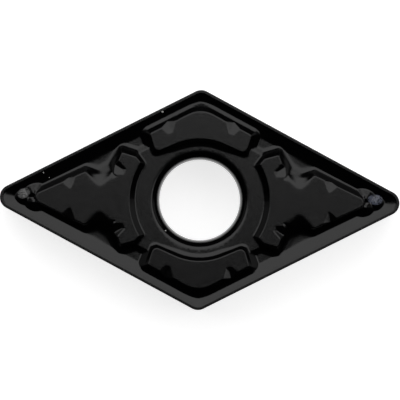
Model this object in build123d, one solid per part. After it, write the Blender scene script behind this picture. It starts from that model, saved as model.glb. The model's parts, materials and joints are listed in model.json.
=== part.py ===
from build123d import *
from math import cos, radians, sin
import os

# Double-sided 55 degree turning insert: one pressed and sintered solid of coated cemented carbide.
# Millimetres. Origin on the bore axis, in the plane of the lower seat faces; +Z up, +X along the
# long diagonal. Heights named *_level count from the cutting edge plane of the upper face.

# ---------- driving dimensions ----------
# Outline
inscribed_circle = 12.70
nose_angle = 55.0
nose_radius = 0.80
edge_hone = 0.045

# Thickness
thickness = 6.35  # from an upper cutting corner to the lower seat
seat_rise = 0.14  # seat faces above the cutting edges

# Hole
bore_diameter = 5.20
bore_entry_width = 0.56  # radial width of the flared mouth
bore_entry_depth = 1.10

# Rim: hone, near-flat land, rake slope down to the floor
land_start = 0.06
land_width = 0.10
land_drop = 0.002
floor_inset = 0.96  # foot of the rake slope, from the edge
floor_level = -0.34
valley_radius = 0.05

# Platform around the hole, a low rhombus with ramped sides
platform_foot_inset = 1.57
platform_top_inset = 1.915
platform_level = -0.16

# Seat pads, one at each obtuse corner. Three outlines: foot, at floor level; break, where the
# gentle foot turns into the steep wall; rim, at seat level.
pad_break_level = -0.10
pad_outer_inset = (0.22, 0.82, 1.13)
pad_crown_radius = (3.60, 1.60, 1.74)
pad_outer_corner_reach = (1.48, 1.15, 0.945)  # along the edge, from its middle
pad_outer_corner_radius = (0.58, 0.24, 0.12)
pad_inner_corner = ((3.20, 2.33), (2.96, 2.84), (2.88, 3.00))
pad_inner_corner_radius = (0.35, 0.34, 0.34)
pad_hole_side_apex = (2.85, 3.94, 4.287)
pad_hole_side_radius = (2.90, 3.63, 3.91)

# Chip-breaking islands, one along each half of the long diagonal: half outlines, from the hole to
# the nose, as corners (x, y) with the radius of each, at the foot, on the wall and at the rim.
island_root = 1.90
island_foot = ((3.95, 3.30), (5.20, 3.69), (5.95, 2.38), (6.45, 1.97), (7.38, 2.27))
island_foot_radii = (0.35, 0.40, 0.60, 0.40, 0.40)
island_wall = ((4.05, 2.90), (5.06, 3.20), (5.68, 1.80), (6.42, 1.47), (7.345, 1.88))
island_wall_radii = (0.42, 0.16, 0.30, 0.40, 0.30)
island_rim = ((4.10, 2.68), (5.04, 2.95), (5.52, 1.62), (6.42, 0.84), (7.33, 1.70))
island_rim_radii = (0.45, 0.12, 0.20, 0.16, 0.22)
island_tip = (12.09, 11.30, 11.01)
island_tip_radius = (0.63, 0.48, 0.37)
island_band = 0.19  # width of the gentle foot
island_break_level = -0.27
island_wall_level = -0.06
island_hole_side_radius = (3.96, 4.50)  # at floor and seat level

# Conical nubs on each cutting nose: (x, y), radius at floor level, level of the tip
nose_nub = ((11.29, 0.0), 0.75, 0.04)
flank_nub = ((10.65, 0.29), 0.86, 0.105)

# Notches in the walls: tip (x, y), heading, then at two stations the distance, the half widths
# to either side, that of the bottom, and the depth
pad_notch_tip = (1.83, 4.08)
pad_notch_heading = 66.0
pad_notch_stations = ((0.16, 0.26, 0.26, 0.15, 0.05), (1.13, 0.42, 0.44, 0.30, 0.25))
island_notch_tip = (4.70, 1.84)
island_notch_heading = 17.6
island_notch_stations = ((0.22, 0.16, 0.39, 0.01, 0.08), (1.30, 0.84, 0.64, 0.02, 0.28))
edge_notch_tip = (8.30, 0.62)
edge_notch_heading = 78.0
edge_notch_stations = ((0.10, 0.11, 0.12, 0.02, 0.02), (0.95, 0.60, 0.66, 0.06, 0.16))

# ---------- derived ----------
half_angle = radians(nose_angle / 2)
edge_normal = Vector(sin(half_angle), cos(half_angle))
edge_along = Vector(cos(half_angle), -sin(half_angle))
half_body = (thickness - seat_rise) / 2  # middle plane to cutting edge
foot_sink = 0.15  # share of its gentle foot by which a raised form runs on below the floor
overrun = 0.5  # how far cutters run past what they cut


def outline(inset):
    """The insert's outline moved in by inset; its corners keep their centres until they run out."""
    apothem = inscribed_circle / 2 - inset
    corners = [(apothem / sin(half_angle), 0), (0, apothem / cos(half_angle))]
    corners += [(-x, -y) for x, y in corners]
    sketch = Polygon(*corners, align=None)
    return fillet(sketch.vertices(), max(nose_radius - inset, valley_radius))


def at(level, sketch):
    """A sketch lifted to a level."""
    return Pos(0, 0, level) * sketch


def rounded(corners):
    """A closed face through corners (x, y, radius)."""
    points = [(x, y) for x, y, _ in corners]
    return make_face(FilletPolyline(*points, radius=[r for _, _, r in corners], close=True))


def between(foot, rim, share):
    """The outline a given share of the way from the foot corners to the rim corners."""
    return [tuple(a + share * (b - a) for a, b in zip(low, high)) for low, high in zip(foot, rim)]


def under_floor(break_level):
    """Level, just under the floor, where a gentle foot that rises to break_level begins."""
    return floor_level - foot_sink * (break_level - floor_level)


def raised_form(*sections):
    """A plateau that rises through outlines, each (level, outline), from just below the floor."""
    return loft([at(level, sketch) for level, sketch in sections], ruled=True)


def notch(tip, heading, stations):
    """A cutter with sloping sides that widens and deepens from a point on the plateau."""
    ahead = Vector(cos(radians(heading)), sin(radians(heading)))
    sections = [Vertex(*tip, seat_rise)]
    for distance, left, right, bottom, depth in stations:
        place = Vector(*tip, seat_rise) + ahead * distance
        plane = Plane(origin=place, x_dir=(-ahead.Y, ahead.X), z_dir=ahead)
        left_top = left + (left - bottom) * overrun / depth
        right_top = right + (right - bottom) * overrun / depth
        corners = [(-bottom, -depth), (bottom, -depth), (left_top, overrun), (-right_top, overrun)]
        sections.append(plane * Polygon(*corners, align=None))
    return loft(sections, ruled=True)


def body_half():
    """Upper half of the blank with its honed edge, land, rake slope and floor."""
    blank = extrude(at(-half_body, outline(0)), half_body)
    top_edges = blank.faces().sort_by(Axis.Z)[-1].edges()
    blank = fillet(top_edges, edge_hone)
    pocket = loft(
        [
            at(overrun, outline(land_start)),
            at(0, outline(land_start)),
            at(-land_drop, outline(land_start + land_width)),
            at(floor_level, outline(floor_inset)),
        ],
        ruled=True,
    )
    return blank - pocket


def platform():
    """The low step around the hole."""
    return loft(
        [at(floor_level, outline(platform_foot_inset)), at(platform_level, outline(platform_top_inset))],
        ruled=True,
    )


def pad():
    """The seat pad at the +Y corner."""

    def corners(tier):
        apothem = inscribed_circle / 2 - pad_outer_inset[tier]
        outer = edge_normal * apothem + edge_along * pad_outer_corner_reach[tier]
        right = [
            (*pad_inner_corner[tier], pad_inner_corner_radius[tier]),
            (outer.X, outer.Y, pad_outer_corner_radius[tier]),
        ]
        left = [(-x, y, r) for x, y, r in reversed(right)]
        crown = (0, apothem / cos(half_angle), pad_crown_radius[tier])
        apex = (0, pad_hole_side_apex[tier], pad_hole_side_radius[tier])
        return [apex, *right, crown, *left]

    foot, wall_foot, rim = corners(0), corners(1), corners(2)
    form = raised_form(
        (under_floor(pad_break_level), rounded(between(foot, wall_foot, -foot_sink))),
        (pad_break_level, rounded(wall_foot)),
        (seat_rise, rounded(rim)),
    )
    cutter = notch(pad_notch_tip, pad_notch_heading, pad_notch_stations)
    return form - cutter - mirror(cutter, about=Plane.YZ)


def island():
    """The island along the +X half of the long diagonal."""

    def section(points, radii, tier):
        upper = [(x, y, r) for (x, y), r in zip(points, radii)]
        lower = [(x, -y, r) for x, y, r in reversed(upper)]
        tip = (island_tip[tier], 0, island_tip_radius[tier])
        return rounded([(island_root, 0, 0), *upper, tip, *lower])

    foot = section(island_foot, island_foot_radii, 0)
    sunk_foot = offset(foot, foot_sink * island_band, kind=Kind.INTERSECTION)
    form = raised_form(
        (under_floor(island_break_level), sunk_foot),
        (island_break_level, offset(foot, -island_band)),
        (island_wall_level, section(island_wall, island_wall_radii, 1)),
        (seat_rise, section(island_rim, island_rim_radii, 2)),
    )
    floor_r, rim_r = island_hole_side_radius
    spread = (rim_r - floor_r) / (seat_rise - floor_level) * overrun
    profile = Polygon(
        (0, floor_level - overrun),
        (floor_r - spread, floor_level - overrun),
        (rim_r + spread, seat_rise + overrun),
        (0, seat_rise + overrun),
        align=None,
    )
    form -= revolve(Plane.XZ * profile, Axis.Z)
    for cutter in (
        notch(island_notch_tip, island_notch_heading, island_notch_stations),
        notch(edge_notch_tip, edge_notch_heading, edge_notch_stations),
    ):
        form = form - cutter - mirror(cutter, about=Plane.XZ)
    return form


def nub(place, foot_radius, tip_level):
    """A cone standing on the floor."""
    cone = Cone(foot_radius, 0, tip_level - floor_level, align=(Align.CENTER, Align.CENTER, Align.MIN))
    return Pos(*place, floor_level) * cone


def bore():
    """Cutter for the hole with its flared mouth, down to the middle plane."""
    radius = bore_diameter / 2
    mouth_radius = radius + bore_entry_width
    mouth_centre = (mouth_radius, platform_level - bore_entry_depth)
    mouth = EllipticalCenterArc(
        mouth_centre, bore_entry_width, bore_entry_depth, start_angle=90, arc_size=90
    )
    rest = Polyline(
        mouth @ 1,
        (radius, -half_body - overrun),
        (0, -half_body - overrun),
        (0, seat_rise + overrun),
        (mouth_radius, seat_rise + overrun),
        mouth @ 0,
    )
    return revolve(Plane.XZ * make_face([mouth, rest]), Axis.Z)


def face_half():
    """One half of the insert, from its middle plane to one working face."""
    nubs = [nub(*nose_nub)]
    for side in (1, -1):
        (x, y), *sizes = flank_nub
        nubs.append(nub((x, side * y), *sizes))
    nose = island() + nubs
    half = body_half() + platform()
    half += pad()
    half += mirror(pad(), about=Plane.XZ)
    half += nose
    half += mirror(nose, about=Plane.YZ)
    return half - bore()


upper = face_half()
lower = mirror(upper, about=Plane.XY.offset(-half_body))
insert_body = Pos(0, 0, thickness) * (upper + lower)

os.makedirs("parts", exist_ok=True)
export_step(insert_body, "parts/insert_body.step")
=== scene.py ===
"""Looks of a double-sided 55 degree carbide turning insert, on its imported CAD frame."""

import json
import math

import bpy
import numpy as np
from mathutils import Matrix, Vector
from mathutils.bvhtree import BVHTree
from mathutils.geometry import delaunay_2d_cdt


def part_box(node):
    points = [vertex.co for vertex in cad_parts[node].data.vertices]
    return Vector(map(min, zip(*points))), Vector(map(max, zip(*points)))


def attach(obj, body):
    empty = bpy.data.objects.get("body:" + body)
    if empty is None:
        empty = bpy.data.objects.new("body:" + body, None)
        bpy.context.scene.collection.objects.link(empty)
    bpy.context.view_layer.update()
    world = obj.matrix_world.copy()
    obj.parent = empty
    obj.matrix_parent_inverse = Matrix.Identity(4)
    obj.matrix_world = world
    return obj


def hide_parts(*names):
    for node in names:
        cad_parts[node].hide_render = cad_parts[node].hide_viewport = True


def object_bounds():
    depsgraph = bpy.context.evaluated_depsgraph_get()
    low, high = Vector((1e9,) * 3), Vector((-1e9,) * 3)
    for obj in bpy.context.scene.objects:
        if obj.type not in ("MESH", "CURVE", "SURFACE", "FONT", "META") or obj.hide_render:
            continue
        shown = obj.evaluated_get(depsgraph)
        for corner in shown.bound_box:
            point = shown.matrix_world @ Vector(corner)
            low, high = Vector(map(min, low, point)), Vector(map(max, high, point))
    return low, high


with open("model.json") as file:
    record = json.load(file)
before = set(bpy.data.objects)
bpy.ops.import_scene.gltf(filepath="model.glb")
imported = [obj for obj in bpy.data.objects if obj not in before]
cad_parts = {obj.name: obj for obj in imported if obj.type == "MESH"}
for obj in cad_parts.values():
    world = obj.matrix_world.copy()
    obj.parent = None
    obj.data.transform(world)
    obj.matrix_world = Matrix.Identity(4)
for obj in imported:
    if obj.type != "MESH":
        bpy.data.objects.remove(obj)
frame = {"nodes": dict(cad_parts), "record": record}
cad_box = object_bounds()

# ---------- sizes, in millimetres; the scene is in metres ----------
MM = 0.001
NODE = "insert_body"

# Outline, honed edge, land and rake slope; an inset is a distance inwards from the outline
HALF_ANGLE = math.radians(27.5)  # half the nose angle
HONE = 0.045  # rounding radius of the cutting edge
LAND_END = 0.18  # inset at which the flat land gives way to the rake slope
LAND_DROP = 0.002  # step down at the land's end
RAKE_INSET = 0.50  # where the rake slope is measured
CLEAN_RIM = 0.30  # up to this inset the rim is drawn by its own line

# Flared mouth of the hole: radial width and depth
MOUTH_WIDTH = 0.56
MOUTH_DEPTH = 1.10

# Sampling of the CAD's working face
SAMPLE = 0.02  # pitch of the height samples
SPARE_SAMPLES = 6  # rows and columns past the insert's reach
SPARE_REACH = 0.3  # how far past the outline rays are cast
RAY_START = 1.0  # above the seats
EDGE_PROBE = 0.006  # past the hone, where the level of the edge is read
PROBE_HALF_WIDTH = 0.004
PLATFORM_PROBE = (0.05, 0.25)  # past the mouth, where the level of the platform is read
EDGE_MARGIN = 0.01  # the field is level up to here past the hone
MOUTH_MARGIN = 0.02  # and up to here past the mouth

# Rounding that the pressing tool leaves in inner corners, as the radius of a ball
CREVICE_RADIUS = 0.16
TIGHT_RADIUS = 0.05  # in the island notches and around the nubs
PAD_RADIUS = 0.20  # around the seat pads
# Rounding of every crease, as the width of a blur
SOFTENING = 0.018
SHOULDER_SOFTENING = 0.09
# Places with a rounding of their own: middle x, y, half length, half width
ISLAND_NOTCH = (5.20, 2.10, 0.75, 0.60)
NUBS = (11.2, 0.0, 1.2, 1.2)
PAD = (0.0, 4.9, 5.0, 1.7)
SHOULDER = (6.35, 1.75, 0.75, 1.2)

# Notches, drawn again as pits with plane sides: rim on the seat (x, y), slope of each side in
# degrees, and the box (middle x, y, half length, half width) that is drawn again
PAD_PIT = ((1.67, 4.82), (1.79, 4.33), (2.09, 4.21), (2.48, 4.54))
PAD_PIT_SLOPES = (18.0, 16.0, 15.3)
PAD_PIT_PLACE = (2.10, 4.75, 0.68, 0.75)
PAD_PIT_LIMIT = ((2.22, 3.95), (2.93, 5.25))  # only to the left of this line
PAD_PIT_SHIFT = 1.05  # the wall without its notch is found this far along the edge
ISLAND_PIT = ((5.246, 2.454), (4.76, 1.90), (4.90, 1.57), (5.58, 1.584))
ISLAND_PIT_SLOPES = (26.0, 20.0, 14.8)
ISLAND_PIT_PLACE = (5.35, 1.95, 0.85, 0.75)
# The island's wall beside its notch: its line at the rim, its line lower down, the drop between
ISLAND_RIM = ((5.04, 2.95), (5.52, 1.62))
ISLAND_WALL = ((5.06, 3.20), (5.68, 1.80))
ISLAND_WALL_DROP = 0.20
TINY = 1e-6  # keeps a divisor above nought

# Mesh
RIM_RINGS = (0.065, 0.09, 0.125, 0.16, 0.18, 0.20, 0.22)  # insets of the rings past the hone
UPPER_PITCH = 0.036  # closest spacing of the upper face's points
LOWER_PITCH = 0.072
BENDS = ((0.9, 1), (0.12, 2), (0.0, 4))  # curvature per mm, and the spacing from there on in pitches
BEND_MARGIN = 0.02  # past the clean rim, where bends don't count yet
BEND_SOFTENING = 0.03
FREE_BORDER = 0.6  # pitches kept free of points beside the rim and the mouth
SLIVER = 0.001  # triangles whose middle is nearer than this to a border are left out
TRIANGULATION_TOLERANCE = 1e-7
# Steps around each arc, side and circle, and up the flank, hone, bore and mouth
NOSE_STEPS = 30
CORNER_STEPS = 14  # at the obtuse corners
EDGE_STEPS = 110
CIRCLE_STEPS = 180
FLANK_STEPS = 4
HONE_STEPS = 5
BORE_STEPS = 4
MOUTH_STEPS = 12

# ---------- sizes worked out from the frame ----------
low, high = (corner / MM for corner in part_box(NODE))
TOP = high.z - low.z
MIDDLE = TOP / 2
corner_gap = (high.x - high.y) / (1 / math.sin(HALF_ANGLE) - 1 / math.cos(HALF_ANGLE))
NOSE_CENTRE = corner_gap / math.sin(HALF_ANGLE)
CORNER_CENTRE = corner_gap / math.cos(HALF_ANGLE)
CORNER_RADIUS = high.x - NOSE_CENTRE  # of the noses and the obtuse corners
APOTHEM = corner_gap + CORNER_RADIUS
mounts = {mount["name"]: mount for mount in frame["record"]["mounts"]}
BORE_RADIUS = mounts["clamp_bore"]["dims"]["r_mm"]
MOUTH_RADIUS = BORE_RADIUS + MOUTH_WIDTH


# ---------- fields: grids of values over one quadrant of the face, which is symmetric ----------
def face_heights():
    """Heights of the upper face, read from the CAD node, as rows of constant y."""
    node = frame["nodes"][NODE]
    corners = [vertex.co / MM for vertex in node.data.vertices]
    tree = BVHTree.FromPolygons(corners, [tuple(face.vertices) for face in node.data.polygons])
    down = Vector((0, 0, -1))
    rows, columns = (math.ceil(reach / SAMPLE) + SPARE_SAMPLES for reach in (high.y, high.x))
    field = np.full((rows, columns), np.nan)
    for j in range(rows):
        reach = (APOTHEM + SPARE_REACH - j * SAMPLE * math.cos(HALF_ANGLE)) / math.sin(HALF_ANGLE)
        for i in range(min(columns, math.ceil(reach / SAMPLE))):
            start = Vector((i * SAMPLE, j * SAMPLE, TOP + RAY_START))
            hit = tree.ray_cast(start, down, TOP + RAY_START - MIDDLE)[0]
            if hit:
                field[j, i] = hit.z
    return field


def mirrored(field, reach):
    """The quadrant with its mirror images and its far border, out to reach samples."""
    for axis in (0, 1):
        field = np.pad(field, [(reach, 0) if a == axis else (0, 0) for a in (0, 1)], "reflect")
        field = np.pad(field, [(0, reach) if a == axis else (0, 0) for a in (0, 1)], "edge")
    return field


def soften(field, width):
    """Gaussian blur, its width in millimetres."""
    sigma = width / SAMPLE
    reach = math.ceil(3 * sigma)
    weights = np.exp(-0.5 * (np.arange(-reach, reach + 1) / sigma) ** 2)
    weights /= weights.sum()
    rows, columns = field.shape
    wide = mirrored(field, reach)
    tall = sum(weight * wide[:, k : k + columns] for k, weight in enumerate(weights))
    return sum(weight * tall[k : k + rows] for k, weight in enumerate(weights))


def fill_crevices(field, radius):
    """Fills inner corners that a ball of the radius can't reach: the ball raises all, then lowers all."""
    reach = int(radius / SAMPLE)
    rows, columns = field.shape
    for sign in (1, -1):
        wide = mirrored(field * sign, reach)
        field = np.full_like(field, -np.inf)
        for dj in range(-reach, reach + 1):
            for di in range(-reach, reach + 1):
                rest = radius**2 - (di**2 + dj**2) * SAMPLE**2
                if rest >= 0:
                    near = wide[reach + dj : reach + dj + rows, reach + di : reach + di + columns]
                    field = np.maximum(field, near + math.sqrt(rest) - radius)
        field *= sign
    return field


def blend_in(field, other, place):
    """The field with the other one inside a rounded box (middle x, y, half length, half width)."""
    x, y, length, width = place
    share = np.exp(-(((grid_x - x) / length) ** 4) - ((grid_y - y) / width) ** 4)
    return field + (other - field) * share


def inside(place):
    """Where the grid lies inside a box (middle x, y, half length, half width)."""
    x, y, length, width = place
    return (np.abs(grid_x - x) < length) & (np.abs(grid_y - y) < width)


def beyond(start, end):
    """How far the grid lies to the left of the line from start to end."""
    dx, dy = end[0] - start[0], end[1] - start[1]
    return ((grid_y - start[1]) * dx - (grid_x - start[0]) * dy) / math.hypot(dx, dy)


def median_where(field, place):
    """The field's median over part of the grid."""
    return float(np.nanmedian(field[place]))


def cubic_weights(s):
    """Weights of four samples in a row, for a place the share s past the second of them."""
    return (
        (-s + 2 * s**2 - s**3) / 2,
        (2 - 5 * s**2 + 3 * s**3) / 2,
        (s + 4 * s**2 - 3 * s**3) / 2,
        (s**3 - s**2) / 2,
    )


def level_at(x, y, field):
    """A field's value at places anywhere on the face, between its samples."""
    column, row = np.abs(x) / SAMPLE, np.abs(y) / SAMPLE
    i, j = np.floor(column).astype(int), np.floor(row).astype(int)
    wide = mirrored(field, 1)
    across, along = cubic_weights(column - i), cubic_weights(row - j)
    return sum(along[b] * across[a] * wide[j + b, i + a] for a in range(4) for b in range(4))


def outline_inset(x, y):
    """How far a place lies inside the rounded outline."""
    u, v = np.abs(x), np.abs(y)
    inset = APOTHEM - u * math.sin(HALF_ANGLE) - v * math.cos(HALF_ANGLE)
    at_nose = (u - NOSE_CENTRE) * math.cos(HALF_ANGLE) > v * math.sin(HALF_ANGLE)
    inset = np.where(at_nose, CORNER_RADIUS - np.hypot(u - NOSE_CENTRE, v), inset)
    at_corner = (v - CORNER_CENTRE) * math.sin(HALF_ANGLE) > u * math.cos(HALF_ANGLE)
    return np.where(at_corner, CORNER_RADIUS - np.hypot(u, v - CORNER_CENTRE), inset)


def rim_level(inset):
    """Height of the land and of the rake slope's start."""
    past = np.maximum(inset - LAND_END, 0)
    return EDGE_LEVEL - RAKE * past - LAND_DROP * (past > 0)


def pit_depth(rim, slopes):
    """Depth of a pit whose plane sides fall from the lines of its rim."""
    depths = [
        np.maximum(beyond(start, end), 0) * math.tan(math.radians(slope))
        for start, end, slope in zip(rim, rim[1:], slopes)
    ]
    return np.minimum.reduce(depths)


def with_pad_notch(field):
    """The heights with the seat pad's notch drawn again."""
    shift_x, shift_y = PAD_PIT_SHIFT * math.cos(HALF_ANGLE), PAD_PIT_SHIFT * math.sin(HALF_ANGLE)
    whole_pad = level_at(grid_x - shift_x, np.minimum(grid_y + shift_y, high.y), field)
    pitted = np.minimum(whole_pad, TOP - pit_depth(PAD_PIT, PAD_PIT_SLOPES))
    return np.where(inside(PAD_PIT_PLACE) & (beyond(*PAD_PIT_LIMIT) > 0), pitted, field)


def with_island_notch(field):
    """The heights with the island's notch, and the wall that it cuts into, drawn again."""
    past_rim = np.maximum(beyond(*ISLAND_RIM), 0)
    to_wall = np.maximum(-beyond(*ISLAND_WALL), 0)
    whole_island = TOP - ISLAND_WALL_DROP * past_rim / (past_rim + to_wall + TINY)
    pitted = np.minimum(whole_island, TOP - pit_depth(ISLAND_PIT, ISLAND_PIT_SLOPES))
    before_shoulder = beyond(ISLAND_RIM[1], ISLAND_WALL[1]) > 0
    return np.where(inside(ISLAND_PIT_PLACE) & (to_wall > 0) & before_shoulder, pitted, field)


def rounded(field):
    """The heights with their inner corners filled and their creases softened."""
    tight = fill_crevices(field, TIGHT_RADIUS)
    filled = fill_crevices(field, CREVICE_RADIUS)
    filled = blend_in(filled, fill_crevices(field, PAD_RADIUS), PAD)
    filled = blend_in(blend_in(filled, tight, ISLAND_NOTCH), tight, NUBS)
    return blend_in(soften(filled, SOFTENING), soften(filled, SHOULDER_SOFTENING), SHOULDER)


def curvature(field):
    """How sharply the heights bend, per millimetre; nothing in the rim, which has its own rings."""
    slope_y, slope_x = np.gradient(mirrored(field, 2), SAMPLE)
    bend_y, twist = np.gradient(slope_y, SAMPLE)
    bend_x = np.gradient(slope_x, SAMPLE, axis=1)
    sharpness = np.sqrt(bend_x**2 + bend_y**2 + 2 * twist**2)[2:-2, 2:-2]
    return soften(np.where(grid_inset < CLEAN_RIM + BEND_MARGIN, 0, sharpness), BEND_SOFTENING)


heights = face_heights()
grid_rows, grid_columns = heights.shape
grid_x, grid_y = np.meshgrid(np.arange(grid_columns) * SAMPLE, np.arange(grid_rows) * SAMPLE)
grid_inset = outline_inset(grid_x, grid_y)
grid_radius = np.hypot(grid_x, grid_y)

at_edge = np.abs(grid_inset - HONE - EDGE_PROBE) < PROBE_HALF_WIDTH
EDGE_LEVEL = median_where(heights, at_edge)
platform_start, platform_end = (MOUTH_RADIUS + distance for distance in PLATFORM_PROBE)
on_platform = (grid_radius > platform_start) & (grid_radius < platform_end)
PLATFORM_LEVEL = median_where(heights, on_platform)
heights = np.where((grid_inset < HONE + EDGE_MARGIN) | np.isnan(heights), EDGE_LEVEL, heights)
heights = np.where(grid_radius < MOUTH_RADIUS + MOUTH_MARGIN, PLATFORM_LEVEL, heights)
heights = with_island_notch(with_pad_notch(heights))

rake_level = median_where(heights, np.abs(grid_inset - RAKE_INSET) < PROBE_HALF_WIDTH)
RAKE = (EDGE_LEVEL - LAND_DROP - rake_level) / (RAKE_INSET - LAND_END)
surface = np.where(grid_inset < CLEAN_RIM, rim_level(grid_inset), rounded(heights))
bend = curvature(surface)


# ---------- mesh ----------
def between(start, end, share):
    """The point a given share of the way from start to end."""
    return tuple(a + (b - a) * share for a, b in zip(start, end))


def outline_ring(inset):
    """Points around the outline, moved in by inset: the same count at every inset."""
    sweep = 90 - math.degrees(HALF_ANGLE)
    # each arc: centre x, y, first and last angle, steps
    arcs = (
        (NOSE_CENTRE, 0, -sweep, sweep, NOSE_STEPS),
        (0, CORNER_CENTRE, sweep, 180 - sweep, CORNER_STEPS),
        (-NOSE_CENTRE, 0, 180 - sweep, 180 + sweep, NOSE_STEPS),
        (0, -CORNER_CENTRE, 180 + sweep, 360 - sweep, CORNER_STEPS),
    )
    reach = CORNER_RADIUS - inset

    def on_arc(x, y, degrees):
        angle = math.radians(degrees)
        return (x + reach * math.cos(angle), y + reach * math.sin(angle))

    points = []
    for (x, y, first, last, steps), after in zip(arcs, arcs[1:] + arcs[:1]):
        for step in range(steps + 1):
            points.append(on_arc(x, y, first + (last - first) * step / steps))
        here, there = points[-1], on_arc(*after[:3])
        for step in range(1, EDGE_STEPS):
            points.append(between(here, there, step / EDGE_STEPS))
    return np.array(points)


def circle(reach):
    """Points around the bore's axis."""
    angles = np.arange(CIRCLE_STEPS) * math.tau / CIRCLE_STEPS
    return np.column_stack([np.cos(angles), np.sin(angles)]) * reach


def face_points(pitch):
    """Places between the rim and the mouth, close together where the face bends."""
    span = math.ceil((high.x + high.y) / pitch)
    i, j = np.meshgrid(np.arange(-span, span + 1), np.arange(-span, span + 1))
    x, y = (i + j / 2) * pitch, j * pitch * math.sqrt(3) / 2
    gap = pitch * FREE_BORDER
    kept = (outline_inset(x, y) > RIM_RINGS[-1] + gap) & (np.hypot(x, y) > MOUTH_RADIUS + gap)
    i, j, x, y = i[kept], j[kept], x[kept], y[kept]
    here = level_at(x, y, bend)
    wanted = np.zeros(len(x), bool)
    for least, multiple in BENDS:
        wanted |= (here >= least) & (i % multiple == 0) & (j % multiple == 0)
    return np.column_stack([x, y])[wanted]


def add_points(verts, points, levels):
    """Adds points at their levels to the vertices, and gives back their numbers."""
    start = len(verts)
    levels = np.broadcast_to(levels, len(points))
    verts.extend((float(x), float(y), float(z)) for (x, y), z in zip(points, levels))
    return list(range(start, len(verts)))


def bridge(first, second):
    """The band of faces between two rings of the same count."""
    after_first, after_second = first[1:] + first[:1], second[1:] + second[:1]
    return list(zip(first, after_first, after_second, second))


def outer_rings(verts):
    """Rings from the middle of the flank up over the honed edge and onto the rake slope."""
    rings = []
    flank_top = EDGE_LEVEL - HONE
    for step in range(FLANK_STEPS):
        share = 1 - (1 - step / FLANK_STEPS) ** 2
        rings.append(add_points(verts, outline_ring(0), MIDDLE + (flank_top - MIDDLE) * share))
    for step in range(HONE_STEPS + 1):
        angle = math.pi / 2 * step / HONE_STEPS
        inset = HONE * (1 - math.cos(angle))
        rings.append(add_points(verts, outline_ring(inset), flank_top + HONE * math.sin(angle)))
    for inset in RIM_RINGS:
        rings.append(add_points(verts, outline_ring(inset), rim_level(inset)))
    return rings


def bore_rings(verts):
    """Rings from the middle of the bore up through its flared mouth."""
    rings = []
    mouth_foot = PLATFORM_LEVEL - MOUTH_DEPTH
    for step in range(BORE_STEPS):
        level = MIDDLE + (mouth_foot - MIDDLE) * step / BORE_STEPS
        rings.append(add_points(verts, circle(BORE_RADIUS), level))
    for step in range(MOUTH_STEPS + 1):
        angle = math.pi / 2 * step / MOUTH_STEPS
        reach = MOUTH_RADIUS - MOUTH_WIDTH * math.cos(angle)
        rings.append(add_points(verts, circle(reach), mouth_foot + MOUTH_DEPTH * math.sin(angle)))
    return rings


def face_triangles(verts, rim, mouth, pitch):
    """Triangles over the rounded heights between the rim and the mouth."""
    places = face_points(pitch)
    middle = add_points(verts, places, level_at(places[:, 0], places[:, 1], surface))
    order = rim + mouth + middle
    flat = [Vector(verts[k][:2]) for k in order]
    borders = [(k, (k + 1) % len(rim)) for k in range(len(rim))]
    borders += [(len(rim) + k, len(rim) + (k + 1) % len(mouth)) for k in range(len(mouth))]
    _, _, triangles, origins, _, _ = delaunay_2d_cdt(flat, borders, [], 0, TRIANGULATION_TOLERANCE)
    index = np.array([order[first[0]] for first in origins])
    corners = index[np.array(triangles)]
    centres = np.array(verts)[corners][:, :, :2].mean(axis=1)
    kept = np.hypot(centres[:, 0], centres[:, 1]) > MOUTH_RADIUS + SLIVER
    kept &= outline_inset(centres[:, 0], centres[:, 1]) > RIM_RINGS[-1] + SLIVER
    return [tuple(int(k) for k in triangle) for triangle in corners[kept]]


def half_skin(pitch):
    """Vertices, faces and middle rings of everything above the middle plane."""
    verts, faces = [], []
    outside = outer_rings(verts)
    hole = bore_rings(verts)
    for first, second in zip(outside, outside[1:]):
        faces += bridge(first, second)
    for first, second in zip(hole, hole[1:]):
        faces += bridge(second, first)
    faces += face_triangles(verts, outside[-1], hole[-1], pitch)
    return verts, faces, outside[0] + hole[0]


def insert_mesh():
    """The whole insert: the upper half, and below the middle plane a coarser mirror image of it."""
    verts, faces, seam = half_skin(UPPER_PITCH)
    lower_verts, lower_faces, lower_seam = half_skin(LOWER_PITCH)
    twin = dict(zip(lower_seam, seam))
    every = [Vector(v) for v in verts]
    for k, (x, y, z) in enumerate(lower_verts):
        if k not in twin:
            twin[k] = len(every)
            every.append(Vector((x, y, TOP - z)))
    every_face = faces + [tuple(twin[k] for k in reversed(face)) for face in lower_faces]
    mesh = bpy.data.meshes.new("insert_skin")
    lift = Vector((0, 0, low.z))
    mesh.from_pydata([(v + lift) * MM for v in every], [], every_face)
    mesh.validate()
    mesh.update()
    mesh.polygons.foreach_set("use_smooth", [True] * len(mesh.polygons))
    return mesh


# ---------- materials ----------
WHITE = (1, 1, 1, 1)
COATING = (0.0006, 0.0006, 0.0007, 1)
COATING_IOR = 1.33
ROUGHNESS = (0.189, 0.209)
# Noises: features per metre, detail
GRAIN = (9000, 4)
MOTTLE = (2200, 4)
SPECKLE = (9000, 3)
GRAIN_STRENGTH = 0.12
GRAIN_HEIGHT = 0.00002  # metres
MOTTLE_RANGE = (0.35, 0.65)  # of the noise, spread over the roughness
FLECK_RANGE = (0.38, 0.62)  # of the noise, spread over how much a spot shows
FLECK_STRENGTH = (0.15, 1.8)
RAGGEDNESS = 0.3  # span over which speckle moves a spot's border, as a share of its size
SPOT_BORDER = (1.0, 0.88)  # where a spot starts and where it is full, as shares of its size
SPOT_DEPTH = 0.8
WORN_COLOUR = (0.064, 0.070, 0.092, 1)
# left nub's grey: wear, and partly a painted sheen that lightens the nub's lit upper side
WORN_GREY_AND_SHEEN = (0.085, 0.085, 0.085, 1)
DUST = (0.45, 0.45, 0.43, 1)
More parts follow.
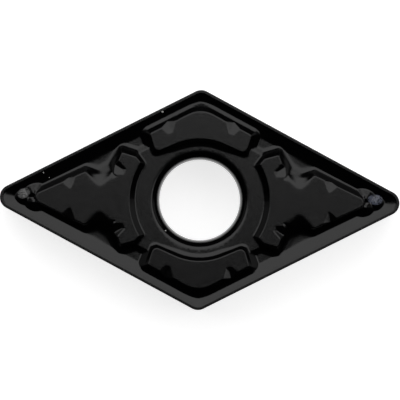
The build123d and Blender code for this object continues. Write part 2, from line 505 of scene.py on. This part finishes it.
# Worn or dusty spots of the upper face, the left nub's grey one partly painted sheen over its lit upper
# side: x, y, turn in degrees, half length, half width, colour
SPOTS = (
    (11.28, 0.22, 0, 0.53, 0.37, WORN_COLOUR),
    # wear and painted sheen: covers only the left nub's lit upper side
    (-11.29, 0.26, 25, 0.46, 0.36, WORN_GREY_AND_SHEEN),
    (-2.47, 5.62, 0, 0.07, 0.06, DUST),
    (-10.03, 1.60, 0, 0.05, 0.05, DUST),
    (-9.67, 1.28, 0, 0.035, 0.035, DUST),
    (-2.15, -1.99, 0, 0.05, 0.05, DUST),
)
FLOOR_COLOUR = (0.6, 0.6, 0.6, 1)
FLOOR_ROUGHNESS = 0.9
FLOOR_GLOW = 0.78


class Recipe:
    """A new material, with short ways to add nodes that are already wired."""

    def __init__(self, name):
        self.material = bpy.data.materials.new(name)
        self.material.use_nodes = True
        self.nodes = self.material.node_tree.nodes
        self.shader = self.nodes["Principled BSDF"].inputs

    def feed(self, socket, value):
        """Wires an output to an input, or gives the input a plain value."""
        if isinstance(value, bpy.types.NodeSocket):
            self.material.node_tree.links.new(value, socket)
        else:
            socket.default_value = value

    def noise(self, place, kind):
        """The value of a noise pattern."""
        node = self.nodes.new("ShaderNodeTexNoise")
        for name, value in zip(("Vector", "Scale", "Detail"), (place, *kind)):
            self.feed(node.inputs[name], value)
        return node.outputs["Fac"]

    def spread(self, value, source, target=(0, 1)):
        """A value carried over from one range to another, and held within it."""
        node = self.nodes.new("ShaderNodeMapRange")
        names = ("Value", "From Min", "From Max", "To Min", "To Max")
        for name, setting in zip(names, (value, *source, *target)):
            self.feed(node.inputs[name], setting)
        return node.outputs[0]

    def math(self, operation, *values):
        """The result of an operation on values."""
        node = self.nodes.new("ShaderNodeMath")
        node.operation = operation
        for socket, value in zip(node.inputs, values):
            self.feed(socket, value)
        return node.outputs[0]


def spotted_colour(recipe, place):
    """The coating's colour with its worn and dusty spots, one of them partly painted sheen on the left
    nub's lit side: ellipsoids, broken up by speckle.
    """
    speckle = recipe.noise(place, SPECKLE)
    flecks = recipe.spread(speckle, FLECK_RANGE, FLECK_STRENGTH)
    ragged = recipe.math("MULTIPLY_ADD", speckle, RAGGEDNESS, -RAGGEDNESS / 2)
    under = COATING
    for x, y, turn, length, width, colour in SPOTS:
        spot = recipe.nodes.new("ShaderNodeMapping")
        spot.vector_type = "TEXTURE"
        recipe.feed(spot.inputs["Vector"], place)
        recipe.feed(spot.inputs["Location"], (x * MM, y * MM, high.z * MM))
        recipe.feed(spot.inputs["Rotation"], (0, 0, math.radians(turn)))
        recipe.feed(spot.inputs["Scale"], (length * MM, width * MM, SPOT_DEPTH * MM))
        far = recipe.nodes.new("ShaderNodeVectorMath")
        far.operation = "LENGTH"
        recipe.feed(far.inputs[0], spot.outputs["Vector"])
        shown = recipe.spread(recipe.math("ADD", far.outputs["Value"], ragged), SPOT_BORDER)
        blend = recipe.nodes.new("ShaderNodeMix")
        blend.data_type = "RGBA"
        recipe.feed(blend.inputs["Factor"], recipe.math("MULTIPLY", shown, flecks))
        recipe.feed(blend.inputs["A"], under)
        recipe.feed(blend.inputs["B"], colour)
        under = blend.outputs["Result"]
    return under


def coated_carbide():
    """Thin black ceramic coating on pressed carbide: near black, satin, with a fine sintered grain."""
    recipe = Recipe("black_coated_carbide")
    place = recipe.nodes.new("ShaderNodeTexCoord").outputs["Object"]
    bump = recipe.nodes.new("ShaderNodeBump")
    recipe.feed(bump.inputs["Height"], recipe.noise(place, GRAIN))
    recipe.feed(bump.inputs["Strength"], GRAIN_STRENGTH)
    recipe.feed(bump.inputs["Distance"], GRAIN_HEIGHT)
    sheen = recipe.spread(recipe.noise(place, MOTTLE), MOTTLE_RANGE, ROUGHNESS)
    recipe.feed(recipe.shader["IOR"], COATING_IOR)
    recipe.feed(recipe.shader["Roughness"], sheen)
    recipe.feed(recipe.shader["Normal"], bump.outputs["Normal"])
    recipe.feed(recipe.shader["Base Color"], spotted_colour(recipe, place))
    return recipe.material


def white_floor():
    """Pale floor: bright to the camera and in what mirrors it, and still holding the shadow."""
    recipe = Recipe("pale_floor")
    path = recipe.nodes.new("ShaderNodeLightPath").outputs
    seen = path["Is Camera Ray"]
    for ray in ("Is Glossy Ray", "Is Transmission Ray"):
        seen = recipe.math("MAXIMUM", seen, path[ray])
    recipe.feed(recipe.shader["Base Color"], FLOOR_COLOUR)
    recipe.feed(recipe.shader["Roughness"], FLOOR_ROUGHNESS)
    recipe.feed(recipe.shader["Emission Color"], WHITE)
    recipe.feed(recipe.shader["Emission Strength"], recipe.math("MULTIPLY", seen, FLOOR_GLOW))
    return recipe.material


# ---------- the insert ----------
mesh = insert_mesh()
insert = bpy.data.objects.new("insert_skin", mesh)
bpy.context.scene.collection.objects.link(insert)
mesh.materials.append(coated_carbide())
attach(insert, "root")
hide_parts(NODE)

# ---------- stage; from here on, lengths are in metres ----------
FLOOR_SIDE = 3.0
half = FLOOR_SIDE / 2
floor_corners = [(-half, -half, 0), (half, -half, 0), (half, half, 0), (-half, half, 0)]
floor_mesh = bpy.data.meshes.new("floor")
floor_mesh.from_pydata(floor_corners, [], [(0, 1, 2, 3)])
floor = bpy.data.objects.new("floor", floor_mesh)
floor.location.z = cad_box[0][2]
bpy.context.scene.collection.objects.link(floor)
floor_mesh.materials.append(white_floor())

# ---------- light ----------
# A wide soft box over the back half, its near edge above the insert
BOX_HEIGHT = 0.60
BOX_WIDTH = 1.0
BOX_NEAR = 0.02
BOX_FAR = 0.90
BOX_RADIANCE = 2.45
# A small one that joins it on the right, where the light reaches further round to the front
SIDE_NEAR = -0.14
SIDE_INNER = 0.20
# Dim cards upright at both sides, seen by walls that face them
CARD_REACH = 1.0
CARD_BACK = 0.36
CARD_SIZE = (0.68, 0.72)
CARD_RADIANCE = 0.45
CARDS = (("right_card", 1, 1.0), ("left_card", -1, 0.6))  # name, side, share of the radiance


def soft_box(name, centre, size, radiance, aim):
    """An even rectangle of light that faces its aim."""
    lamp = bpy.data.lights.new(name, "AREA")
    lamp.shape = "RECTANGLE"
    lamp.size, lamp.size_y = size
    lamp.energy = radiance * math.pi * size[0] * size[1]
    thing = bpy.data.objects.new(name, lamp)
    thing.location = centre
    thing.rotation_euler = (Vector(aim) - Vector(centre)).to_track_quat("-Z", "Y").to_euler()
    bpy.context.scene.collection.objects.link(thing)


def overhead_box(name, left, right, near, far):
    """A soft box that faces straight down, between its four sides."""
    x, y = (left + right) / 2, (near + far) / 2
    soft_box(name, (x, y, BOX_HEIGHT), (right - left, far - near), BOX_RADIANCE, (x, y, 0))


overhead_box("soft_box", -BOX_WIDTH / 2, BOX_WIDTH / 2, BOX_NEAR, BOX_FAR)
overhead_box("side_box", SIDE_INNER, BOX_WIDTH / 2, SIDE_NEAR, BOX_NEAR)
card_middle = CARD_SIZE[1] / 2
for name, side, share in CARDS:
    centre = (side * CARD_REACH, CARD_BACK, card_middle)
    soft_box(name, centre, CARD_SIZE, CARD_RADIANCE * share, (0, CARD_BACK, card_middle))

# ---------- world: white to the camera only, so that the coating mirrors a dark room ----------
world = bpy.data.worlds.new("studio")
world.use_nodes = True
sky = world.node_tree.nodes["Background"]
sky.inputs["Color"].default_value = WHITE
sky_path = world.node_tree.nodes.new("ShaderNodeLightPath")
world.node_tree.links.new(sky_path.outputs["Is Camera Ray"], sky.inputs["Strength"])
bpy.context.scene.world = world

# ---------- camera: straight down, in the photograph's framing ----------
PICTURE = 400  # pixels a side
SCALE = 15.60  # pixels for each millimetre at the cutting edges
CENTRE = (199.60, 200.05)  # pixel of the insert's middle
TURN = math.radians(0.972)  # the insert lies turned clockwise by this
DISTANCE = 0.40  # above the cutting edges
SENSOR = 36  # millimetres
CLIP_START = 0.01


def metres(pixels):
    """A length in the photograph as a length at the cutting edges."""
    return pixels / SCALE * MM


camera_data = bpy.data.cameras.new("camera")
camera_data.sensor_width = SENSOR
camera_data.clip_start = CLIP_START
camera_data.lens = SENSOR * DISTANCE / metres(PICTURE)
camera = bpy.data.objects.new("camera", camera_data)
eye = (
    metres(PICTURE / 2 - CENTRE[0]),
    metres(CENTRE[1] - PICTURE / 2),
    cad_box[0][2] + EDGE_LEVEL * MM + DISTANCE,
)
camera.matrix_world = Matrix.Rotation(TURN, 4, "Z") @ Matrix.Translation(eye)
bpy.context.scene.collection.objects.link(camera)
bpy.context.scene.camera = camera
bpy.context.scene.view_settings.view_transform = "Standard"
